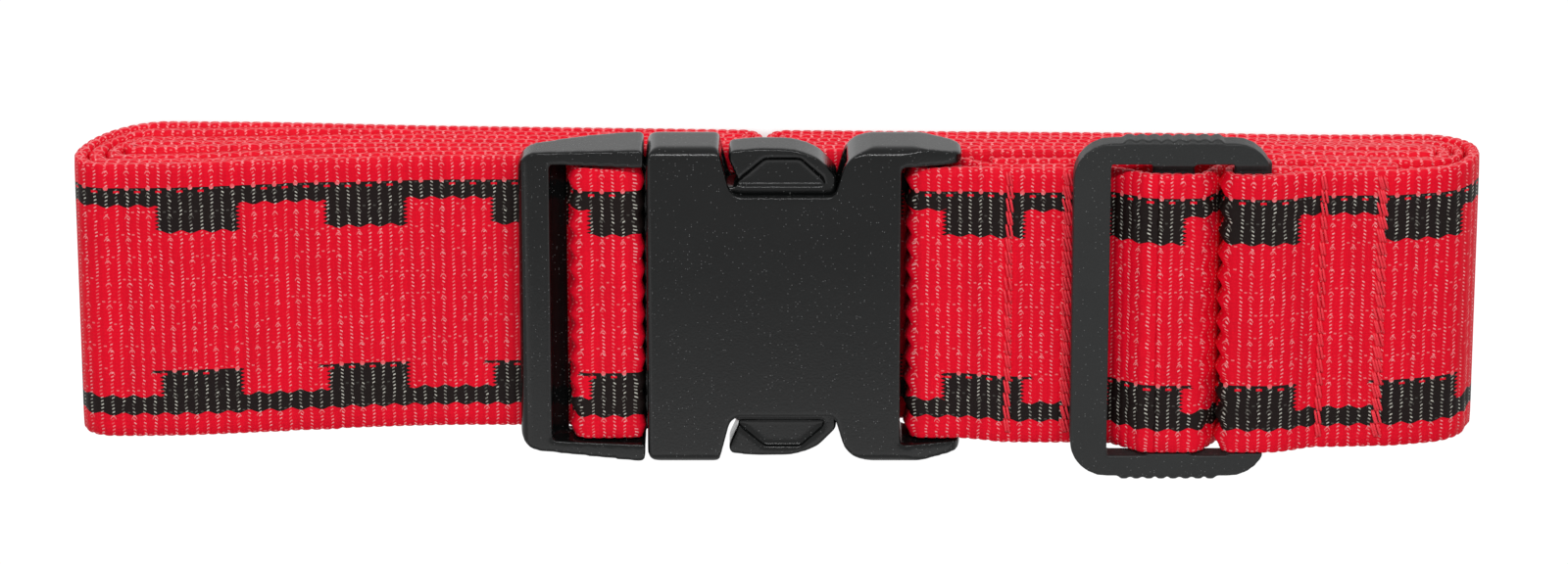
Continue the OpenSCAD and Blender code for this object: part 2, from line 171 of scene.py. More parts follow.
def new_material(name):
    """A new material with its node tree and shader, or the one of that name with None and None."""
    material = bpy.data.materials.get(name)
    if material:
        return material, None, None
    material = bpy.data.materials.new(name)
    material.use_nodes = True
    tree = material.node_tree
    tree.nodes.clear()
    shader = add(tree, "ShaderNodeBsdfPrincipled")
    add(tree, "ShaderNodeOutputMaterial", {"Surface": shader})
    return material, tree, shader


def woven_polypropylene():
    """Woven polypropylene webbing: shiny flat floats of warp between grooves in which the weft
    shows as short slanted ticks. The attribute weave holds the place along the web, the place
    across it and the place in the pattern repeat, in millimetres."""
    s = bpy.context.scene.strap_webbing
    material, tree, shader = new_material("woven_polypropylene")
    if tree is None:
        return material
    put = partial(add, tree)
    repeat, rib, half = s.repeat / MM, s.repeat / RIBS_IN_REPEAT / MM, s.width / 2 / MM
    place = put("ShaderNodeAttribute", attribute_name="weave").outputs["Vector"]
    along, across, block = put("ShaderNodeSeparateXYZ", place).outputs

    # Ribs, 1.81 mm apart along the web, and yarns, 0.72 mm apart across it
    rib_at = put("DIVIDE", along, rib)
    rib_no = put("ROUND", rib_at)
    off_groove = put("SUBTRACT", rib_at, rib_no)        # -0.5 to 0.5, 0 in the groove
    from_groove = put("ABSOLUTE", off_groove)
    odd = put("PINGPONG", rib_no, 1.0)                  # 1 on every second groove
    even = put("SUBTRACT", 1.0, odd)
    lane = put("DIVIDE", across, s.yarn / MM)

    # Ticks of weft in the grooves: two strands twisted round each other, so the slant changes
    groove_dice = put("ShaderNodeTexWhiteNoise", {"W": rib_no}, noise_dimensions="1D")
    slant = put("MULTIPLY_ADD", put("GREATER_THAN", groove_dice, 0.4), 3.0, -1.5)
    tick_lane = put("SUBTRACT", put("DIVIDE", across, s.tick_step / MM), put("MULTIPLY", off_groove, slant))
    tick_no = put("ROUND", tick_lane)
    dice = put("ShaderNodeTexWhiteNoise", {"Vector": put("ShaderNodeCombineXYZ", rib_no, tick_no)},
               noise_dimensions="2D")
    tick_y = put("ABSOLUTE", put("SUBTRACT", tick_lane, tick_no))
    tick_x = put("ABSOLUTE", put("SUBTRACT", off_groove, put("MULTIPLY_ADD", dice, 0.14, -0.07)))
    tick = put("MULTIPLY", put("ShaderNodeMapRange", tick_y, 0.13, 0.23, 1.0, 0.0),
               put("ShaderNodeMapRange", tick_x, 0.09, 0.14, 1.0, 0.0))
    tick = put("MULTIPLY", tick, put("MULTIPLY_ADD", dice, 0.9, 0.15))

    # Bands: a black stripe inside each selvage with blocks that reach inwards
    top = put("SUBTRACT", half, across)                 # distance from the upper selvage
    low = put("ADD", half, across)                      # distance from the lower selvage
    saw = put("MULTIPLY", put("PINGPONG", lane, 0.5), 1.7)
    phase = put("FLOORED_MODULO", put("ADD", block, saw), repeat)
    in_block = put("LESS_THAN", phase, BLOCK_LENGTH)
    # Scallops two ribs long; the black reaches furthest at the grooves that carry a bead
    wave = put("MULTIPLY", put("COSINE", put("MULTIPLY", rib_at, math.pi)), 0.27)
    reach = put("MULTIPLY_ADD", in_block, BLOCK_INNER - STRIPE_INNER, STRIPE_INNER)
    top_band = put("MULTIPLY", put("GREATER_THAN", top, STRIPE_OUTER),
                   put("LESS_THAN", top, put("ADD", reach, wave)))
    low_wave = put("MULTIPLY", wave, put("SUBTRACT", 1.0, in_block))
    low_band = put("MULTIPLY", put("GREATER_THAN", low, put("SUBTRACT", STRIPE_OUTER, wave)),
                   put("LESS_THAN", low, put("ADD", reach, low_wave)))
    # A sliver of black lies just before the inner corner of each lower block
    sliver = put("MULTIPLY", put("COMPARE", phase, repeat - 1.0, 0.9),
                 put("COMPARE", low, BLOCK_INNER - 0.28, 0.24))
    black = put("MAXIMUM", put("MAXIMUM", top_band, low_band), sliver)

    # On the straight edge of each band: a round bead at every second groove, a dash at the others
    upper = put("GREATER_THAN", across, 0.0)
    straight = put("MULTIPLY_ADD", upper, put("SUBTRACT", top, STRIPE_OUTER),
                   put("MULTIPLY", put("SUBTRACT", 1.0, upper), put("SUBTRACT", BLOCK_INNER, low)))
    on_edge = put("MAXIMUM", upper, in_block)
    bead_at = put("ShaderNodeCombineXYZ", put("MULTIPLY", off_groove, rib), put("SUBTRACT", straight, 0.1))
    bead_far = put("ShaderNodeVectorMath", bead_at, operation="LENGTH").outputs["Value"]
    bead = put("MULTIPLY", put("MULTIPLY", put("LESS_THAN", bead_far, 0.4), even), on_edge)
    dash = put("MULTIPLY", put("MULTIPLY", put("COMPARE", straight, 0.72, 0.2), odd),
               put("LESS_THAN", from_groove, 0.29))
    dash = put("MULTIPLY", put("MULTIPLY", dash, on_edge), put("GREATER_THAN", groove_dice, 0.15))
    black = put("MULTIPLY", black, put("SUBTRACT", 1.0, put("MAXIMUM", bead, dash)))

    # Rows 4.1 mm apart: pale points between the grooves, and a brighter arch beside every second one
    row_at = put("DIVIDE", across, WEFT_ROW)
    row_no = put("ROUND", row_at)
    row_off = put("MULTIPLY", put("SUBTRACT", row_at, row_no), WEFT_ROW)
    row_cell = put("ShaderNodeCombineXYZ", put("ROUND", put("MULTIPLY", rib_at, 2.0)), row_no)
    row_dice = put("ShaderNodeTexWhiteNoise", {"Vector": row_cell}, noise_dimensions="2D")
    row = put("MULTIPLY", put("COMPARE", row_off, 0.0, 0.13),
              put("MULTIPLY", put("GREATER_THAN", row_dice, 0.55), put("COMPARE", from_groove, 0.5, 0.13)))
    arch_y = put("MULTIPLY_ADD", put("MULTIPLY", from_groove, from_groove), 7.0, row_off)
    arch = put("MULTIPLY", put("COMPARE", arch_y, -0.72, 0.13),
               put("MULTIPLY", put("LESS_THAN", from_groove, 0.26), even))
    faint = put("MULTIPLY_ADD", black, -0.8, 1.0)       # both hardly show on the black

    # The selvage, where the weft turns back round the edge in arches two ribs long
    out = put("SUBTRACT", put("ABSOLUTE", across), half)
    at_edge = put("GREATER_THAN", out, -0.3)
    bow = put("ABSOLUTE", put("SINE", put("MULTIPLY", rib_at, math.pi / 2)))
    bow = put("MULTIPLY", put("COMPARE", out, put("MULTIPLY_ADD", bow, 0.62, 0.05), 0.13), at_edge)
    turn = put("MULTIPLY", at_edge, put("LESS_THAN", from_groove, 0.1))

    # All that is pale: the ticks most, then the rows and arches, the beads and the selvage
    marks = put("MAXIMUM", put("MULTIPLY", row, 0.4), put("MULTIPLY", arch, 0.5))
    pale = put("MAXIMUM", tick, put("MULTIPLY", marks, faint))
    pale = put("MAXIMUM", pale, put("MULTIPLY", bead, 0.3))
    pale = put("MAXIMUM", pale, put("MULTIPLY", put("MAXIMUM", bow, turn),
                                    put("MULTIPLY_ADD", row_dice, 0.35, 0.15)))

    # Tone from rib to rib and over the length, and a band of painted shade on each float beside its groove
    tone = put("ShaderNodeTexNoise", {"Vector": place, "Scale": 0.11, "Detail": 3.0})
    drawn_out = put("ShaderNodeVectorMath", place, (0.7, 7.0, 0.0), operation="MULTIPLY")
    fibre = put("ShaderNodeTexNoise", {"Vector": drawn_out, "Scale": 1.0, "Detail": 2.0})
    shade = put("ADD", put("MULTIPLY_ADD", tone, 0.2, 0.9), put("MULTIPLY_ADD", fibre, 0.16, -0.08))
    # Painted shade: a slightly darker band on each float, between its middle and the groove
    shade = put("MULTIPLY_ADD", put("COMPARE", from_groove, 0.32, 0.09), -0.03, shade)
    shade = put("ADD", shade, put("MULTIPLY_ADD", groove_dice, 0.07, -0.035))
    warp = put("ShaderNodeMix", {6: linear(s.ground), 7: linear(s.stripe), 0: black}, data_type="RGBA")
    warp = put("ShaderNodeVectorMath", {0: warp.outputs[2], 3: shade}, operation="SCALE")
    weft = put("ShaderNodeMix", {6: linear(s.tick), 7: linear(s.grey_tick), 0: black}, data_type="RGBA")
    colour = put("ShaderNodeMix", {6: warp, 7: weft.outputs[2], 0: put("MULTIPLY", pale, 0.86)},
                 data_type="RGBA")

    # Relief: rounded yarns on the floats, raised ticks in the grooves
    rounded = put("ABSOLUTE", put("SINE", put("MULTIPLY", lane, math.pi)))
    rounded = put("MULTIPLY", rounded, put("MULTIPLY", from_groove, 2.0))
    relief = put("MULTIPLY_ADD", rounded, 0.45, put("MULTIPLY", pale, 0.8))
    relief = put("MULTIPLY_ADD", fibre, 0.5, relief)
    bump = put("ShaderNodeBump", {"Height": relief, "Strength": 0.6, "Distance": 0.1 * MM})
    feed(tree, shader, {"Base Color": colour.outputs[2], "Normal": bump, "IOR": 1.49,
                        "Roughness": put("MULTIPLY_ADD", fibre, 0.2, 0.42),
                        "Specular IOR Level": 0.1})
    return material


def spun_polyester():
    """Spun polyester sewing thread: two plies twisted together, slightly furry."""
    s = bpy.context.scene.strap_thread
    material, tree, shader = new_material("spun_polyester_thread")
    if tree is None:
        return material
    put = partial(add, tree)
    at = put("ShaderNodeTexCoord").outputs["Object"]
    ply = put("ShaderNodeTexWave", {"Vector": at, "Scale": 1 / (4 * MM), "Distortion": 1.5},
              bands_direction="DIAGONAL")
    hair = put("ShaderNodeTexNoise", {"Vector": at, "Scale": 1 / (0.25 * MM)})
    furry = put("ShaderNodeMapRange", hair, 0.5, 0.75, 0.0, 0.7)
    colour = put("ShaderNodeMix", {6: linear(s.colour), 7: linear(s.fibre), 0: furry}, data_type="RGBA")
    bump = put("ShaderNodeBump", {"Height": ply.outputs[1], "Strength": 0.6, "Distance": 0.06 * MM})
    feed(tree, shader, {"Base Color": colour.outputs[2], "Normal": bump, "Roughness": 0.55,
                        "IOR": 1.57, "Sheen Weight": 0.05})
    return material


def moulded_acetal(name, hex_colour, grain, relief, gloss, painted_glint_share, level):
    """Injection-moulded acetal from a spark-eroded mould: the mould's fine grit gives a satin surface with
    a fine bump, its small bright points in the light are painted into the colour as light grey glints, and
    the runs of the flow leave a slight change of tone."""
    material, tree, shader = new_material(name)
    if tree is None:
        return material
    put = partial(add, tree)
    at = put("ShaderNodeTexCoord").outputs["Object"]
    grit = put("ShaderNodeTexNoise", {"Vector": at, "Scale": 1 / grain, "Detail": 3.0, "Roughness": 0.65})
    pits = put("ShaderNodeTexVoronoi", {"Vector": at, "Scale": 0.8 / grain})
    flow = put("ShaderNodeTexNoise", {"Vector": at, "Scale": 1 / (9 * MM), "Detail": 3.0})
    # Painted glints: light grey points in the colour stand in for the grit's sparkle in the light, 0.34 mm
    # apart, coarser than the real ones so that they show
    points = put("ShaderNodeTexVoronoi", {"Vector": at, "Scale": 1 / (0.34 * MM)})
    bright = put("ShaderNodeMapRange", points, 0.16, 0.3, 1.0, 0.0)
    chosen = put("GREATER_THAN", put("ShaderNodeSeparateColor", points.outputs["Color"]), 1 - painted_glint_share)
    glint = put("MULTIPLY", put("MULTIPLY", bright, chosen), 0.4)
    tone = put("ADD", put("MULTIPLY_ADD", flow, 0.3, 0.85), put("MULTIPLY_ADD", grit, 0.5, -0.25))
    base = put("ShaderNodeVectorMath", {0: linear(hex_colour)[:3], 3: tone}, operation="SCALE")
    # The painted glints lighten the colour towards light grey
    colour = put("ShaderNodeMix", {6: base, 7: linear("9A9C9C"), 0: glint}, data_type="RGBA")
    height = put("MULTIPLY_ADD", pits, 0.6, grit)
    bump = put("ShaderNodeBump", {"Height": height, "Strength": 0.6, "Distance": relief})
    feed(tree, shader, {"Base Color": colour.outputs[2], "Normal": bump, "IOR": 1.48,
                        "Roughness": put("MULTIPLY_ADD", flow, 0.12, gloss),
                        "Specular IOR Level": level})
    return material


# ---------------------------------------------------------------- the webbing's route

# Millimetres. The points are those of the CAD solid's route, in the same order.
LAYER_T = 1.45
LAY_PITCH, END_PITCH = 1.9, 2.6
HALF_LENGTH = 121.6
SPREAD_FROM, SPREAD_TO, SPREAD_R = 60, 102, 100
FLAPS_MEET_X, FLAP_GAP = -2.4, 0.8
FOLD_X = HALF_LENGTH - LAYER_T / 2 - 3.5 * END_PITCH
FOLD_EASE = 0.4
HEM_R = LAY_PITCH / 2
HALF_T = LAYER_T / 2
HUG = HALF_T + 0.3

SLIDE_X1, SLIDE_Z0 = 85.0, 20.3
THIN_Z0, THIN_Z1 = 20.5, 22.9
MIDDLE_BAR_X0, MIDDLE_BAR_X1, RIGHT_BAR_X0, LEFT_BAR_X1 = 64.4, 71.7, 78.5, 57.2
SLIDE_HEM_CUT_X, SLIDE_HEM_FOLD_X = 92.7, 106.3
SOCKET_HEM_CUT_X, SOCKET_HEM_FOLD_X = 37.0, 52.1
SOCKET_BAR_X0, SOCKET_BAR_X1 = 24.2, 29.2
SOCKET_BAR_Z0, SOCKET_BAR_Z1 = 14.9, 19.2
INNER_BAR_X0, INNER_BAR_X1, INNER_BAR_Z1 = -34.2, -28.4, 19.35
PLUG_X1 = -23.2
SEWN_X = RIGHT_BAR_X0 - HUG
OVER_BAR_X = MIDDLE_BAR_X1 + 1.3
RUNNING_TURN_X, RUNNING_TURN_Z = OVER_BAR_X + 4, 17.1
OVER_MIDDLE_Z, OVER_RIGHT_Z = THIN_Z1 + HUG + 0.15, THIN_Z1 + HUG
SLIDE_TAB_Z = THIN_Z0 - HUG
SLIDE_TOP_Z, SLIDE_HEM_Z = SLIDE_TAB_Z + LAY_PITCH, SLIDE_TAB_Z - LAY_PITCH
RUNNING_Z = SLIDE_HEM_Z - LAY_PITCH
UNDER_LEFT_Z = SLIDE_Z0 - HUG
OVER_SOCKET_BAR_Z, UNDER_SOCKET_BAR_Z = SOCKET_BAR_Z1 + HUG, SOCKET_BAR_Z0 - HUG
SOCKET_LOOP_X = SOCKET_BAR_X0 - HUG
SOCKET_TAB_Z = UNDER_LEFT_Z - LAY_PITCH
SOCKET_HEM_Z = SOCKET_TAB_Z - LAY_PITCH
PLUG_LOOP_X, PLUG_LOOP_Z = INNER_BAR_X0 - HUG, INNER_BAR_Z1 + HUG

# Millimetres across the webbing, from a selvage inwards, and along it
STRIPE_OUTER, STRIPE_INNER, BLOCK_INNER = 4.2, 7.5, 12.3
BLOCK_LENGTH = 14.0
WEFT_ROW = 4.1
BULGE = 1.1                         # how far a row rises above its wefts in the tightest bends
RIB = REPEAT / RIBS_IN_REPEAT

# The webbing in front: places along X, and how much wider it is there and how far it lies sideways
ABOVE_LAYERS_Z = 16
FRONT_WIDENING = ((-60, -46, 31, 39, 56, 63, 90, 121),
                  (0.006, 0.0, 0.0, 0.014, 0.018, 0.028, 0.022, 0.012))
FRONT_SHIFT = ((31, 39, 56, 63, 90, 121), (0.0, -0.8, -0.8, -0.5, -0.8, -0.4))
# The left fold's lean: where it begins and over what length it grows, how much it leans for each
# millimetre of height, and how far the whole fold moves in
LEAN_FROM, LEAN_OVER, LEFT_LEAN, LEAN_BACK = 84, 28, 0.5, 1.0
# Half the thickness on top of the ribs, and the most that it swells to at the folded ends
USUAL_HALF_T, MOST_HALF_T = 0.83, 1.45
STRETCH_X = 95                      # the two middle layers stretch between these places
ROUTE_STEP = 4                      # degrees of one step in a bend of the route


def flat_z(k):
    """Height of layer k where the layers lie flat."""
    return HALF_T + k * LAY_PITCH


def end_z(k):
    """Height of layer k at the folded ends, where the layers lie apart."""
    return HALF_T + k * END_PITCH


def layer_z(k, x):
    """Height of layer k at x, on its way from the flat part to the fold."""
    spread = (abs(x) - SPREAD_FROM) / (SPREAD_TO - SPREAD_FROM)
    return flat_z(k) + k * (END_PITCH - LAY_PITCH) * spread


def outwards(k, side):
    """Corners of layer k on its way to the fold at one side, 1 right or -1 left."""
    return [(side * SPREAD_FROM, flat_z(k), SPREAD_R), (side * SPREAD_TO, end_z(k), SPREAD_R)]


def inwards(k, side):
    """The same corners on the way back."""
    return outwards(k, side)[::-1]


def end_fold(a, b, side):
    """Corners of the fold from layer a to layer b."""
    r = abs(a - 3.5) * END_PITCH
    x = side * (FOLD_X + r)
    return [(x, end_z(a), r - FOLD_EASE), (x, end_z(b), r - FOLD_EASE)]


def flap_turn(a, b, side):
    """Corners of the turn from layer a to layer b where the flaps meet."""
    r = abs(a - b) * LAY_PITCH / 2
    x = FLAPS_MEET_X + side * (FLAP_GAP / 2 + HALF_T + 1.5 * LAY_PITCH - r)
    return [(x, flat_z(a), r), (x, flat_z(b), r)]


ROUTE_CORNERS = (
    [(SLIDE_HEM_CUT_X, SLIDE_HEM_Z, 0), (SLIDE_HEM_FOLD_X, SLIDE_HEM_Z, HEM_R),
     (SLIDE_HEM_FOLD_X, SLIDE_TAB_Z, HEM_R), (SEWN_X, SLIDE_TAB_Z, 1.3), (SEWN_X, OVER_RIGHT_Z, 2),
     (SLIDE_X1 + 1.5, OVER_RIGHT_Z, 8), (SLIDE_X1 + 7.4, SLIDE_TOP_Z, 6),
     (SLIDE_HEM_FOLD_X + 0.4, SLIDE_TOP_Z, 12)]
    + end_fold(7, 0, 1) + flap_turn(0, 3, 1) + outwards(3, 1) + end_fold(3, 4, 1)
    + inwards(4, 1) + outwards(4, -1) + end_fold(4, 3, -1) + inwards(3, -1)
    + flap_turn(3, 0, -1) + end_fold(0, 7, -1) + inwards(7, -1)
    + [(PLUG_LOOP_X, flat_z(7), 1.5), (PLUG_LOOP_X, PLUG_LOOP_Z, 2.2),
       (PLUG_X1 - 0.4, PLUG_LOOP_Z - 0.2, 1), (INNER_BAR_X1 + 1.4, flat_z(6), 2)]
    + outwards(6, -1) + end_fold(6, 1, -1) + inwards(1, -1) + flap_turn(1, 2, -1)
    + outwards(2, -1) + end_fold(2, 5, -1) + inwards(5, -1) + outwards(5, 1)
    + end_fold(5, 2, 1) + inwards(2, 1) + flap_turn(2, 1, 1) + outwards(1, 1) + end_fold(1, 6, 1)
    + [(SLIDE_HEM_FOLD_X + 0.5, RUNNING_Z, 12), (SLIDE_HEM_CUT_X - 3.2, RUNNING_Z, 12),
       (RUNNING_TURN_X, RUNNING_TURN_Z, 3), (OVER_BAR_X, OVER_MIDDLE_Z, 3),
       (MIDDLE_BAR_X0 - 0.8, OVER_MIDDLE_Z, 2.2),
       (LEFT_BAR_X1 + 0.6, UNDER_LEFT_Z, 3), (SOCKET_HEM_CUT_X - 1, UNDER_LEFT_Z, 20),
       (SOCKET_BAR_X1 + 0.4, OVER_SOCKET_BAR_Z, 12), (SOCKET_LOOP_X, OVER_SOCKET_BAR_Z, 2),
       (SOCKET_LOOP_X, UNDER_SOCKET_BAR_Z, 2), (SOCKET_BAR_X1 + 0.6, UNDER_SOCKET_BAR_Z, 5),
       (SOCKET_HEM_CUT_X - 1.4, SOCKET_TAB_Z, 5), (SOCKET_HEM_FOLD_X, SOCKET_TAB_Z, HEM_R),
       (SOCKET_HEM_FOLD_X, SOCKET_HEM_Z, HEM_R), (SOCKET_HEM_CUT_X, SOCKET_HEM_Z, 0)])


def rounded_route(corners):
    """The route's points, with an arc of the given radius at each corner."""
    points = [np.array(corners[0][:2], float)]
    for before, corner, after in zip(corners, corners[1:], corners[2:]):
        p, r = np.array(corner[:2], float), corner[2]
        u, v = np.array(before[:2]) - p, np.array(after[:2]) - p
        u, v = u / np.linalg.norm(u), v / np.linalg.norm(v)
        half = math.acos(max(-1.0, min(1.0, float(u @ v)))) / 2
        turn = math.pi - 2 * half
        if math.degrees(turn) < 0.3:
            points.append(p)
            continue
        centre = p + (u + v) / np.linalg.norm(u + v) * r / math.sin(half)
        start = p + u * r / math.tan(half) - centre
        end = p + v * r / math.tan(half) - centre
        side = math.copysign(1, start[0] * end[1] - start[1] * end[0])
        steps = max(2, math.ceil(math.degrees(turn) / ROUTE_STEP))
        for i in range(steps + 1):
            a = side * turn * i / steps
            points.append(centre + np.array([start[0] * math.cos(a) - start[1] * math.sin(a),
                                             start[0] * math.sin(a) + start[1] * math.cos(a)]))
    points.append(np.array(corners[-1][:2], float))
    keep = [points[0]]
    for p in points[1:]:
        if np.linalg.norm(p - keep[-1]) > 0.01:
            keep.append(p)
    return np.array(keep)


FOLD_MIDDLE_Z = (end_z(0) + end_z(7)) / 2


def leaning(route):
    """The route with its left fold leaning, so that the front reaches further than the back."""
    steps = [np.linspace(0, 1, max(2, math.ceil(np.linalg.norm(b - a))), endpoint=False)[:, None]
             * (b - a) + a for a, b in zip(route, route[1:])]
    route = np.concatenate(steps + [route[-1:]])
    lean = np.clip((-route[:, 0] - LEAN_FROM) / LEAN_OVER, 0, 1)
    route[:, 0] += lean * (LEAN_BACK - LEFT_LEAN * (route[:, 1] - FOLD_MIDDLE_Z))
    return route


ROUTE = leaning(rounded_route(ROUTE_CORNERS))
ROUTE_S = np.concatenate([[0], np.cumsum(np.linalg.norm(np.diff(ROUTE, axis=0), axis=1))])


def route_at(x, z, after=0.0):
    """The length along the route, past the length after, at its first pass near (x, z)."""
    fine = np.arange(after, ROUTE_S[-1], 0.1)
    xs, zs = np.interp(fine, ROUTE_S, ROUTE[:, 0]), np.interp(fine, ROUTE_S, ROUTE[:, 1])
    near = np.hypot(xs - x, zs - z)
    first = int(np.argmax(near < 1.2))
    if near[first] >= 1.2:
        raise RuntimeError(f"the route doesn't pass ({x}, {z}) after {after}")
    stop = min(first + 60, len(near))
    return float(fine[first + int(np.argmin(near[first:stop]))])


# Lengths along the route where one stretch of webbing ends and the next begins
S_RIGHT_FOLD = route_at(FOLD_X + 3.5 * END_PITCH, FOLD_MIDDLE_Z)
S_RIGHT_FLAP = route_at(10, flat_z(0), S_RIGHT_FOLD)
S_STRETCH_4A = route_at(STRETCH_X, layer_z(4, STRETCH_X), S_RIGHT_FLAP)
S_STRETCH_4B = route_at(-STRETCH_X, layer_z(4, STRETCH_X), S_STRETCH_4A)
S_LEFT_FOLD = route_at(-FOLD_X - 3.5 * END_PITCH + LEAN_BACK, FOLD_MIDDLE_Z, S_STRETCH_4B)
S_LEFT_INNER = route_at(-FOLD_X - 2.5 * END_PITCH + LEAN_BACK, FOLD_MIDDLE_Z, S_LEFT_FOLD)
S_STRETCH_5A = route_at(-STRETCH_X, layer_z(5, STRETCH_X), S_LEFT_INNER)
S_STRETCH_5B = route_at(STRETCH_X, layer_z(5, STRETCH_X), S_STRETCH_5A)
S_RUNNING = route_at(113, end_z(6) - 0.3, S_STRETCH_5B)
S_OVER_BAR = route_at(MIDDLE_BAR_X0 + 1, OVER_MIDDLE_Z, S_RUNNING)
S_END = float(ROUTE_S[-1])


# ---------------------------------------------------------------- meshes

def mesh_object(name, vertices, faces, material):
    """A closed smooth piece from its vertices and faces. The faces are turned outwards."""
    mesh = bpy.data.meshes.new(name)
    mesh.from_pydata(vertices, [], faces)
    mesh.validate()
    mesh.polygons.foreach_set("use_smooth", [True] * len(mesh.polygons))
    mesh.materials.append(material)
    piece = bpy.data.objects.new(name, mesh)
    bpy.context.scene.collection.objects.link(piece)
    work = bmesh.new()
    work.from_mesh(mesh)
    if work.calc_volume(signed=True) < 0:
        bmesh.ops.reverse_faces(work, faces=work.faces)
    work.to_mesh(mesh)
    work.free()
    return piece


def tube_faces(rows, count):
    """Faces of a closed tube of so many rings of so many points. The two ends come last."""
    i = np.arange(rows - 1)[:, None] * count
    j = np.arange(count)[None, :]
    k = (j + 1) % count
    sides = np.stack([i + j, i + k, i + count + k, i + count + j], -1).reshape(-1, 4)
    last = (rows - 1) * count
    return sides.tolist() + [list(range(count))[::-1], list(range(last, last + count))]


def apply_modifier(piece, kind, **settings):
    """Adds a modifier with its settings and applies it."""
    modifier = piece.modifiers.new(kind.lower(), kind)
    for key, value in settings.items():
        setattr(modifier, key, value)
    with bpy.context.temp_override(object=piece, active_object=piece, selected_objects=[piece]):
        bpy.ops.object.modifier_apply(modifier=modifier.name)


def block_shift(s):
    """What is added to the length along the route so that a repeat starts with a black block.
    It changes only inside the bundle, and always by whole ribs."""
    marks = np.array([m for m, _ in BLOCK_MARKS])
    shifts = np.array([v for _, v in BLOCK_MARKS])
    return shifts[np.searchsorted(marks, s, side="right") - 1]


def whole_ribs(length):
    """What takes a length back to the pattern's start, in whole ribs."""
    return -round(length / RIB) * RIB


def wander(s):
    """Sideways wander of the folded layers in millimetres, none at the buckle and the slide."""
    x = np.interp(s, ROUTE_S, ROUTE[:, 0])
    z = np.interp(s, ROUTE_S, ROUTE[:, 1])
    free = np.clip((np.abs(x - 10) - 70) / 30, 0, 1) * np.clip((20.5 - z) / 3, 0, 1)
    most = np.where(z < 17, 0.32, 0.2)
    # The deeper a layer lies, the more it is turned in the bundle
    turned = np.where(x < 0, -0.0145, -0.008) * x * np.clip(1 - z / 16, 0, 1)
    return turned + free * most * (np.sin(s / 41.0 + 0.6) + 0.7 * np.sin(s / 17.3 + 2.1))


def room(s, p, n):
    """How much thicker the webbing may look on its two faces at the folded ends, where the layers
    spring apart and the loosened edge swells: each face grows half way to the layer beside it."""
    x = p[:, 0]
    none = 99
    other = np.arange(0, ROUTE_S[-1], 1.2)
    away = np.stack([np.interp(other, ROUTE_S, ROUTE[:, i]) for i in (0, 1)], 1)[None] - p[:, None]
    far = np.linalg.norm(away, axis=2)
    far[np.abs(s[:, None] - other[None]) < 9] = none            # the same layer
    facing = (away * n[:, None]).sum(2) / far
    ends = np.clip((np.abs(x) - 62) / 30, 0, 1)
    ends *= np.interp(s, (S_RUNNING - 20, S_RUNNING - 10), (1, 0))  # the sewn end slides over the rest
    faces = []
    for side in (1, -1):
        near = np.where(side * facing > 0.5, far, none).min(1)
        half = np.where(near > 5, USUAL_HALF_T, np.clip((near - 0.16) / 2, USUAL_HALF_T, MOST_HALF_T))
        half = np.convolve(np.pad(half, 7, mode="edge"), np.ones(15) / 15, mode="valid")
        faces.append(ends * (half - USUAL_HALF_T))
    return faces


